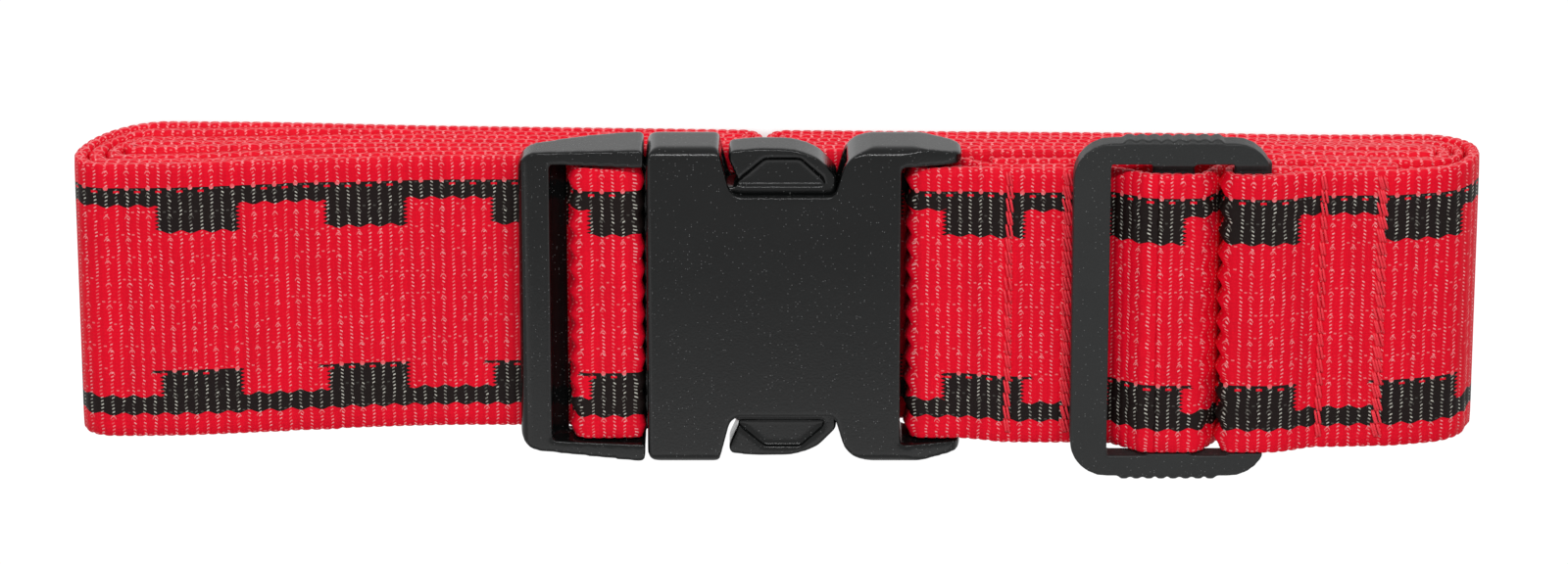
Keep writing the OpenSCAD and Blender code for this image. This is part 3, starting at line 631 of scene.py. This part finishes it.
class Ribbon:
    """One stretch of the webbing as a closed ribbon with ribs, scalloped selvages and seams."""

    def __init__(self, s0, s1, settings):
        self.rib = settings.repeat / RIBS_IN_REPEAT / MM
        self.half_width = settings.width / MM / 2
        self.half_t = settings.thickness / MM / 2
        self.depth = settings.rib_depth / MM
        step = self.rib / 4
        inner = np.arange(math.ceil(s0 / step + 0.25), math.floor(s1 / step - 0.25) + 1) * step
        self.s = np.concatenate([[s0], inner, [s1]])

    def ring(self):
        """The cross-section. Each point has its place across, its side from 1 for the face to -1
        for the back, and its place in the weave. It runs over the face and round a selvage, and
        the back half is the front half turned round."""
        half = self.half_width
        face = [(y, 1.0, y) for y in np.linspace(-half + 0.35, half - 0.35, 25)]
        selvage = [(half - 0.08, 0.72, half + 0.1), (half, 0.0, half + 0.1 + self.half_t * 0.8),
                   (half - 0.08, -0.72, half + 0.1)]
        front = np.array(face + selvage)
        return np.concatenate([front, -front])

    def rows(self):
        """Each row's place on the route and the direction out of the webbing's face."""
        s, e = self.s, 0.35
        x, z = np.interp(s, ROUTE_S, ROUTE[:, 0]), np.interp(s, ROUTE_S, ROUTE[:, 1])
        tx = np.interp(s + e, ROUTE_S, ROUTE[:, 0]) - np.interp(s - e, ROUTE_S, ROUTE[:, 0])
        tz = np.interp(s + e, ROUTE_S, ROUTE[:, 1]) - np.interp(s - e, ROUTE_S, ROUTE[:, 1])
        n = np.stack([-tz, tx], 1) / np.hypot(tx, tz)[:, None]
        return np.stack([x, z], 1), n

    def half_thickness(self, ring, p, n, groove):
        """Half the thickness at each row and each point of the ring."""
        s = self.s
        # Thinner at the selvage
        inside = np.clip((self.half_width - np.abs(ring[:, 0])) / 1.2, 0, 1)
        thick = self.half_t * (0.9 + 0.1 * inside)
        # Where the webbing bends round a bar, the rows between the wefts bulge on the outer face
        turn = np.gradient(np.unwrap(np.arctan2(n[:, 1], n[:, 0])), s)
        tight = np.convolve(np.pad(np.clip(turn / 0.25, -1, 1), 7, mode="edge"), np.ones(15) / 10, "valid")
        tight *= (np.abs(p[:, 0]) < FOLD_X - 10) & (p[:, 1] > ABOVE_LAYERS_Z)
        outer = np.clip(-ring[None, :, 1] * tight[:, None], 0, 1)
        bulge = np.abs(np.sin(np.pi * ring[:, 0] / WEFT_ROW)) - 0.5
        # The seams pull it in
        dip = np.zeros(len(s))
        for mark, wide, deep in SEAM_DIPS:
            dip += deep * np.exp(-((s - mark) / wide) ** 2)
        upper, lower = room(s, p, n)
        swell = np.where(ring[None, :, 1] > 0, upper[:, None], lower[:, None])
        return (thick[None, :] + swell - self.depth * groove[:, None]
                - dip[:, None] + BULGE * outer * bulge[None, :])

    def build(self, name, material):
        s, ring = self.s, self.ring()
        p, n = self.rows()
        groove = np.abs(np.cos(np.pi * s / self.rib)) ** 6          # 1 in a groove between two ribs
        out = ring[None, :, 1] * self.half_thickness(ring, p, n, groove)
        edge = np.sign(ring[:, 0]) * (np.abs(ring[:, 0]) > self.half_width - 0.5)
        front = p[:, 1] > ABOVE_LAYERS_Z
        wider = 1 + front * np.interp(p[:, 0], *FRONT_WIDENING)
        sideways = wander(s) + front * np.interp(p[:, 0], *FRONT_SHIFT)
        place = np.empty((len(s), len(ring), 3))
        place[:, :, 0] = p[:, 0, None] + n[:, 0, None] * out
        place[:, :, 1] = (ring[None, :, 0] * wider[:, None] + sideways[:, None]
                          - edge[None, :] * (0.16 * groove[:, None] - 0.05))
        place[:, :, 2] = p[:, 1, None] + n[:, 1, None] * out
        weave = np.empty((len(s), len(ring), 3), np.float32)
        weave[:, :, 0] = s[:, None]
        weave[:, :, 1] = ring[None, :, 2]
        weave[:, :, 2] = (s + block_shift(s))[:, None]
        faces = tube_faces(len(s), len(ring))
        piece = mesh_object(name, (place * MM).reshape(-1, 3).tolist(), faces, material)
        for end in (-1, -2):
            piece.data.polygons[end].use_smooth = False
        attribute = piece.data.attributes.new("weave", "FLOAT_VECTOR", "POINT")
        attribute.data.foreach_set("vector", weave.ravel())
        return piece


# Lengths along the route at the seams and at the black blocks seen in front
S_SLIDE_HEM = route_at(SLIDE_HEM_FOLD_X, (SLIDE_HEM_Z + SLIDE_TAB_Z) / 2)
S_SOCKET_HEM = route_at(SOCKET_HEM_FOLD_X, (SOCKET_HEM_Z + SOCKET_TAB_Z) / 2, S_OVER_BAR)
SEAM_ROWS = (2.1, 12.2)             # millimetres from the hem's fold
SLIDE_TOP_ROWS = [route_at(SLIDE_HEM_FOLD_X - r, SLIDE_TOP_Z, S_SLIDE_HEM + 30) for r in SEAM_ROWS]
SOCKET_TOP_ROWS = [route_at(SOCKET_HEM_FOLD_X - r, UNDER_LEFT_Z, S_OVER_BAR + 4) for r in SEAM_ROWS]
SEAM_DIPS = ([(m, 0.75, 0.22) for m in SLIDE_TOP_ROWS + SOCKET_TOP_ROWS]
             + [(S_SLIDE_HEM + side * r, 0.75, 0.2) for r in SEAM_ROWS for side in (-1, 1)]
             + [(S_SOCKET_HEM + side * r, 0.75, 0.2) for r in SEAM_ROWS for side in (-1, 1)])
S_SEWN_BLOCK = route_at(78.9, OVER_RIGHT_Z, S_SLIDE_HEM + 20) - RIB
S_FRONT_BLOCK = route_at(-78.5, layer_z(7, -78.5), S_LEFT_FOLD)
S_LOOP_BLOCK = route_at(-31.6, PLUG_LOOP_Z, S_FRONT_BLOCK)
S_SOCKET_BLOCK = route_at(42.8, UNDER_LEFT_Z, S_OVER_BAR)
BLOCK_MARKS = (
    (-1.0, whole_ribs(S_SEWN_BLOCK)),
    (S_STRETCH_4A, whole_ribs(S_FRONT_BLOCK)),
    (S_LOOP_BLOCK - 6.0, whole_ribs(S_LOOP_BLOCK)),
    (S_STRETCH_5A, whole_ribs(S_SOCKET_BLOCK)))


def cad_copy(node, name, material):
    """A separate mesh with the shape of a CAD node, to be moulded further."""
    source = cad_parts[node]
    piece = bpy.data.objects.new(name, source.data.copy())
    piece.data.materials.clear()
    piece.data.materials.append(material)
    bpy.context.scene.collection.objects.link(piece)
    work = bmesh.new()
    work.from_mesh(piece.data)
    bmesh.ops.remove_doubles(work, verts=work.verts, dist=0.001 * MM)
    work.to_mesh(piece.data)
    work.free()
    return piece


def mould(piece, voxel, rounding, faces):
    """Rounds all edges as a mould does: remesh, smooth, then thin the mesh to about so many faces."""
    apply_modifier(piece, "REMESH", mode="VOXEL", voxel_size=voxel, use_smooth_shade=True)
    if rounding:
        apply_modifier(piece, "SMOOTH", factor=0.5, iterations=rounding)
    apply_modifier(piece, "TRIANGULATE")
    share = faces / max(faces, len(piece.data.polygons))
    if share < 1:
        apply_modifier(piece, "DECIMATE", ratio=share)
    piece.data.polygons.foreach_set("use_smooth", [True] * len(piece.data.polygons))
    if len(piece.data.polygons) < 1000:
        raise RuntimeError(f"{piece.name} came out of its mould with no shape")


# ---------------------------------------------------------------- the pieces

class STRAP_OT_webbing(bpy.types.Operator):
    """Makes the folded webbing in stretches: each on one body rides on it, and a stretch between two bodies
    stays where it lies
    """

    bl_idname = "strap.webbing"
    bl_label = "Folded webbing"

    def execute(self, context):
        settings = context.scene.strap_webbing
        weave = woven_polypropylene()
        middle = ("plug", "strap", -STRETCH_X * MM, STRETCH_X * MM)
        # Name, where it starts and ends, the body it rides on, or two bodies and where it passes
        # from one to the other
        stretches = (
            ("webbing_slide_end", 0, S_RIGHT_FOLD, "slide", None),
            ("webbing_right_flap", S_RIGHT_FOLD, S_RIGHT_FLAP, None, ("slide", "strap", 0.1216, 0.02)),
            ("webbing_right_core", S_RIGHT_FLAP, S_STRETCH_4A, "strap", None),
            ("webbing_upper_middle", S_STRETCH_4A, S_STRETCH_4B, None, middle),
            ("webbing_left_flap", S_STRETCH_4B, S_LEFT_FOLD, "plug", None),
            ("webbing_plug_loop", S_LEFT_FOLD, S_LEFT_INNER, "plug", None),
            ("webbing_left_core", S_LEFT_INNER, S_STRETCH_5A, "plug", None),
            ("webbing_lower_middle", S_STRETCH_5A, S_STRETCH_5B, None, middle),
            ("webbing_right_turns", S_STRETCH_5B, S_RUNNING, "strap", None),
            ("webbing_running", S_RUNNING, S_OVER_BAR, None, ("slide", "strap", 0.086, 0.113)),
            ("webbing_socket_end", S_OVER_BAR, S_END, None, ("strap", "slide", 0.0525, 0.057)),
        )
        for name, s0, s1, body, crossing in stretches:
            piece = Ribbon(s0, s1, settings).build(name, weave)
            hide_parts("webbing")
            if body:
                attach(piece, body)
            else:
                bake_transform(piece)
        return {"FINISHED"}


def stitch(a, b, sag, radius, around=8, steps=7):
    """One stitch as a bent round thread whose ends dive into the web: rings of vertices and faces."""
    a, b = np.array(a, float), np.array(b, float)
    axis = (b - a) / np.linalg.norm(b - a)
    up = np.array([0, 0, math.copysign(1, sag)])
    side = np.cross(axis, up)
    vertices = []
    for i in range(steps + 1):
        t = i / steps
        lift = abs(sag) * (1 - (2 * t - 1) ** 4) - abs(sag) * 0.5
        centre = a + (b - a) * t + up * lift
        r = radius * (1 if 0 < i < steps else 0.55)
        for k in range(around):
            angle = 2 * math.pi * k / around
            vertices.append(centre + r * (math.cos(angle) * side + math.sin(angle) * up))
    return vertices, tube_faces(steps + 1, around)


# Each row of a seam, in millimetres: its lines beside each other, and how far a stitch leans.
# The row by the fold is the fuller one.
SEAM_LINES = (((-0.5, 0.0, 0.5), 0.8), ((-0.28, 0.28), 0.5))
SEAM_HALF_WIDTH = 24.2


def seam_piece(name, fold_x, top_z, bottom_z, settings, thread):
    """The two rows of a box seam, seen on the front and on the back of the sewn end."""
    rng = np.random.default_rng(11)
    r, length = settings.diameter / MM / 2, settings.stitch / MM
    vertices, faces = [], []
    for inset, (lines, lean) in zip(SEAM_ROWS, SEAM_LINES):
        # The stitches lie high on the front, and deep in the web on the back
        for z, sag in ((top_z + HALF_T + 0.1, 0.42), (bottom_z - HALF_T + 0.2, -0.2)):
            for line in lines:
                y = -SEAM_HALF_WIDTH
                while y < SEAM_HALF_WIDTH - length * 0.5:
                    x0 = fold_x - inset + line + rng.normal(0, 0.08) - lean / 2
                    v, f = stitch((x0 + lean, y, z), (x0, min(y + length * 1.06, 24.6), z), sag, r)
                    base = len(vertices)
                    vertices += [p * MM for p in v]
                    faces += [[base + i for i in q] for q in f]
                    y += length * 0.96
    return mesh_object(name, vertices, faces, thread)


class STRAP_OT_stitching(bpy.types.Operator):
    """Makes the two seams in sewing thread"""

    bl_idname = "strap.stitching"
    bl_label = "Stitching"

    def execute(self, context):
        settings = context.scene.strap_thread
        thread = spun_polyester()
        for name, node, fold_x, top_z, bottom_z, body in (
                ("socket_seam", "socket_stitching", SOCKET_HEM_FOLD_X, UNDER_LEFT_Z, SOCKET_HEM_Z, "strap"),
                ("slide_seam", "slide_stitching", SLIDE_HEM_FOLD_X, SLIDE_TOP_Z, SLIDE_HEM_Z, "slide")):
            piece = seam_piece(name, fold_x, top_z, bottom_z, settings, thread)
            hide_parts(node)
            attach(piece, body)
        return {"FINISHED"}


def buckle_piece(context, node, name, body, faces):
    """Moulds one piece of the buckle in the shape of its CAD node."""
    settings = context.scene.strap_buckle
    acetal = moulded_acetal("moulded_black_acetal", settings.colour, settings.grain,
                            relief=0.02 * MM, gloss=0.1, painted_glint_share=0.1, level=0.24)
    piece = cad_copy(node, name, acetal)
    mould(piece, settings.voxel, settings.rounding, faces)
    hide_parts(node)
    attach(piece, body)


class STRAP_OT_socket(bpy.types.Operator):
    """Moulds the socket of the buckle"""

    bl_idname = "strap.socket"
    bl_label = "Socket"

    def execute(self, context):
        buckle_piece(context, "socket", "buckle_socket", "strap", 90000)
        return {"FINISHED"}


class STRAP_OT_plug(bpy.types.Operator):
    """Moulds the plug of the buckle"""

    bl_idname = "strap.plug"
    bl_label = "Plug"

    def execute(self, context):
        buckle_piece(context, "plug", "buckle_plug", "plug", 60000)
        return {"FINISHED"}


class STRAP_OT_prongs(bpy.types.Operator):
    """Moulds the two springy prongs of the plug"""

    bl_idname = "strap.prongs"
    bl_label = "Prongs"

    def execute(self, context):
        for side in ("upper", "lower"):
            buckle_piece(context, f"{side}_prong", f"buckle_{side}_prong", f"{side}_prong", 24000)
        return {"FINISHED"}


class STRAP_OT_slide(bpy.types.Operator):
    """Moulds the three-bar slide"""

    bl_idname = "strap.slide"
    bl_label = "Three-bar slide"

    def execute(self, context):
        settings = context.scene.strap_slide
        acetal = moulded_acetal("moulded_grey_acetal", settings.colour, settings.grain,
                                relief=0.05 * MM, gloss=0.36, painted_glint_share=0.08, level=0.18)
        piece = cad_copy("three_bar_slide", "strap_slide", acetal)
        mould(piece, settings.voxel, settings.rounding, 90000)
        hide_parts("three_bar_slide")
        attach(piece, "slide")
        return {"FINISHED"}


# ---------------------------------------------------------------- the stage

def soft_light(name, power, size, where):
    """A soft strip of light that points at the strap."""
    light = bpy.data.lights.new(name, "AREA")
    light.energy, light.shape, light.size, light.size_y = power, "RECTANGLE", size[0], size[1]
    lamp = bpy.data.objects.new(name, light)
    lamp.location = where
    lamp.rotation_euler = (-Vector(where)).to_track_quat("-Z", "Y").to_euler()
    bpy.context.scene.collection.objects.link(lamp)


def seen_directly(tree):
    """1 where the camera, gloss or glass sees the background, and 0 where it only gives light."""
    path = add(tree, "ShaderNodeLightPath")
    seen = add(tree, "MAXIMUM", path.outputs["Is Camera Ray"], path.outputs["Is Glossy Ray"])
    return add(tree, "MAXIMUM", seen, path.outputs["Is Transmission Ray"])


def white_floor_board():
    """Painted board: matt white, shown white to the camera and to gloss, and still in shadow."""
    paper, tree, shader = new_material("white_floor_board")
    feed(tree, shader, {"Base Color": linear("F4F4F4"), "Roughness": 0.9, "Specular IOR Level": 0.2})
    # The board under and close beside the strap gets little light
    open_air = add(tree, "ShaderNodeAmbientOcclusion", {"Distance": 7 * MM}, samples=8)
    open_air = add(tree, "ShaderNodeMapRange", open_air.outputs["AO"], 0.2, 0.55, 0.0, 1.0)
    share = add(tree, "MULTIPLY", seen_directly(tree), open_air)
    glow = add(tree, "ShaderNodeEmission", {"Color": (1, 1, 1, 1), "Strength": 1.06})
    mixed = add(tree, "ShaderNodeMixShader", share, shader, glow)
    output = next(n for n in tree.nodes if n.bl_idname == "ShaderNodeOutputMaterial")
    feed(tree, output, {"Surface": mixed})
    return paper


class STRAP_OT_studio(bpy.types.Operator):
    """Sets the pale floor, the soft light and the camera"""

    bl_idname = "strap.studio"
    bl_label = "Studio"

    def execute(self, context):
        s = context.scene.strap_studio
        scene = context.scene
        work = bmesh.new()
        bmesh.ops.create_grid(work, x_segments=8, y_segments=8, size=3.0)
        mesh = bpy.data.meshes.new("floor")
        work.to_mesh(mesh)
        work.free()
        mesh.materials.append(white_floor_board())
        floor = bpy.data.objects.new("floor", mesh)
        floor.location = (0, 0, -0.3 * MM)
        scene.collection.objects.link(floor)

        world = bpy.data.worlds.new("studio")
        world.use_nodes = True
        sky = world.node_tree
        sky.nodes.clear()
        strength = add(sky, "ShaderNodeMapRange", seen_directly(sky), 0.0, 1.0, s.sky, 1.0)
        back = add(sky, "ShaderNodeBackground", {"Color": (1, 1, 1, 1), "Strength": strength})
        add(sky, "ShaderNodeOutputWorld", {"Surface": back})
        scene.world = world

        soft_light("key_above", s.key, (1.2, 0.045), (0.0, 0.8, 0.85))
        soft_light("fill_below", s.fill, (1.2, 0.1), (0.0, -0.19, 0.34))
        scene.view_settings.view_transform = "Standard"

        camera_data = bpy.data.cameras.new("camera")
        camera_data.lens = s.lens
        camera_data.sensor_width = 36
        camera_data.clip_start, camera_data.clip_end = 0.05, 20
        camera = bpy.data.objects.new("camera", camera_data)
        up = Vector((0, math.cos(s.tilt), -math.sin(s.tilt)))
        back_dir = Vector((0, math.sin(s.tilt), math.cos(s.tilt)))
        aim = Vector((1.0 * MM, 0, 0)) - up * 3.24 * MM             # the middle of the view
        camera.location = aim + back_dir * s.distance
        camera.rotation_euler = (-s.tilt, 0, 0)
        scene.collection.objects.link(camera)
        scene.camera = camera
        return {"FINISHED"}


OPERATORS = (STRAP_OT_webbing, STRAP_OT_stitching, STRAP_OT_socket, STRAP_OT_plug,
             STRAP_OT_prongs, STRAP_OT_slide, STRAP_OT_studio)


class STRAP_PT_panel(bpy.types.Panel):
    """Lists the sizes, the finishes and the pieces"""

    bl_idname = "STRAP_PT_panel"
    bl_label = "Luggage strap"
    bl_space_type = "VIEW_3D"
    bl_region_type = "UI"
    bl_category = "Luggage strap"

    def draw(self, context):
        for name in NAMES:
            group = getattr(context.scene, name)
            box = self.layout.box()
            for key in group.bl_rna.properties.keys():
                if key not in ("rna_type", "name"):
                    box.prop(group, key)
        for operator in OPERATORS:
            self.layout.operator(operator.bl_idname)


CLASSES = SETTINGS + OPERATORS + (STRAP_PT_panel,)


def register():
    for cls in CLASSES:
        bpy.utils.register_class(cls)
    for name, group in zip(NAMES, SETTINGS):
        setattr(bpy.types.Scene, name, PointerProperty(type=group))


def unregister():
    for name in NAMES:
        delattr(bpy.types.Scene, name)
    for cls in reversed(CLASSES):
        bpy.utils.unregister_class(cls)


def main():
    register()
    for operator in OPERATORS:
        group, name = operator.bl_idname.split(".")
        getattr(getattr(bpy.ops, group), name)()


if __name__ == "__main__":
    main()
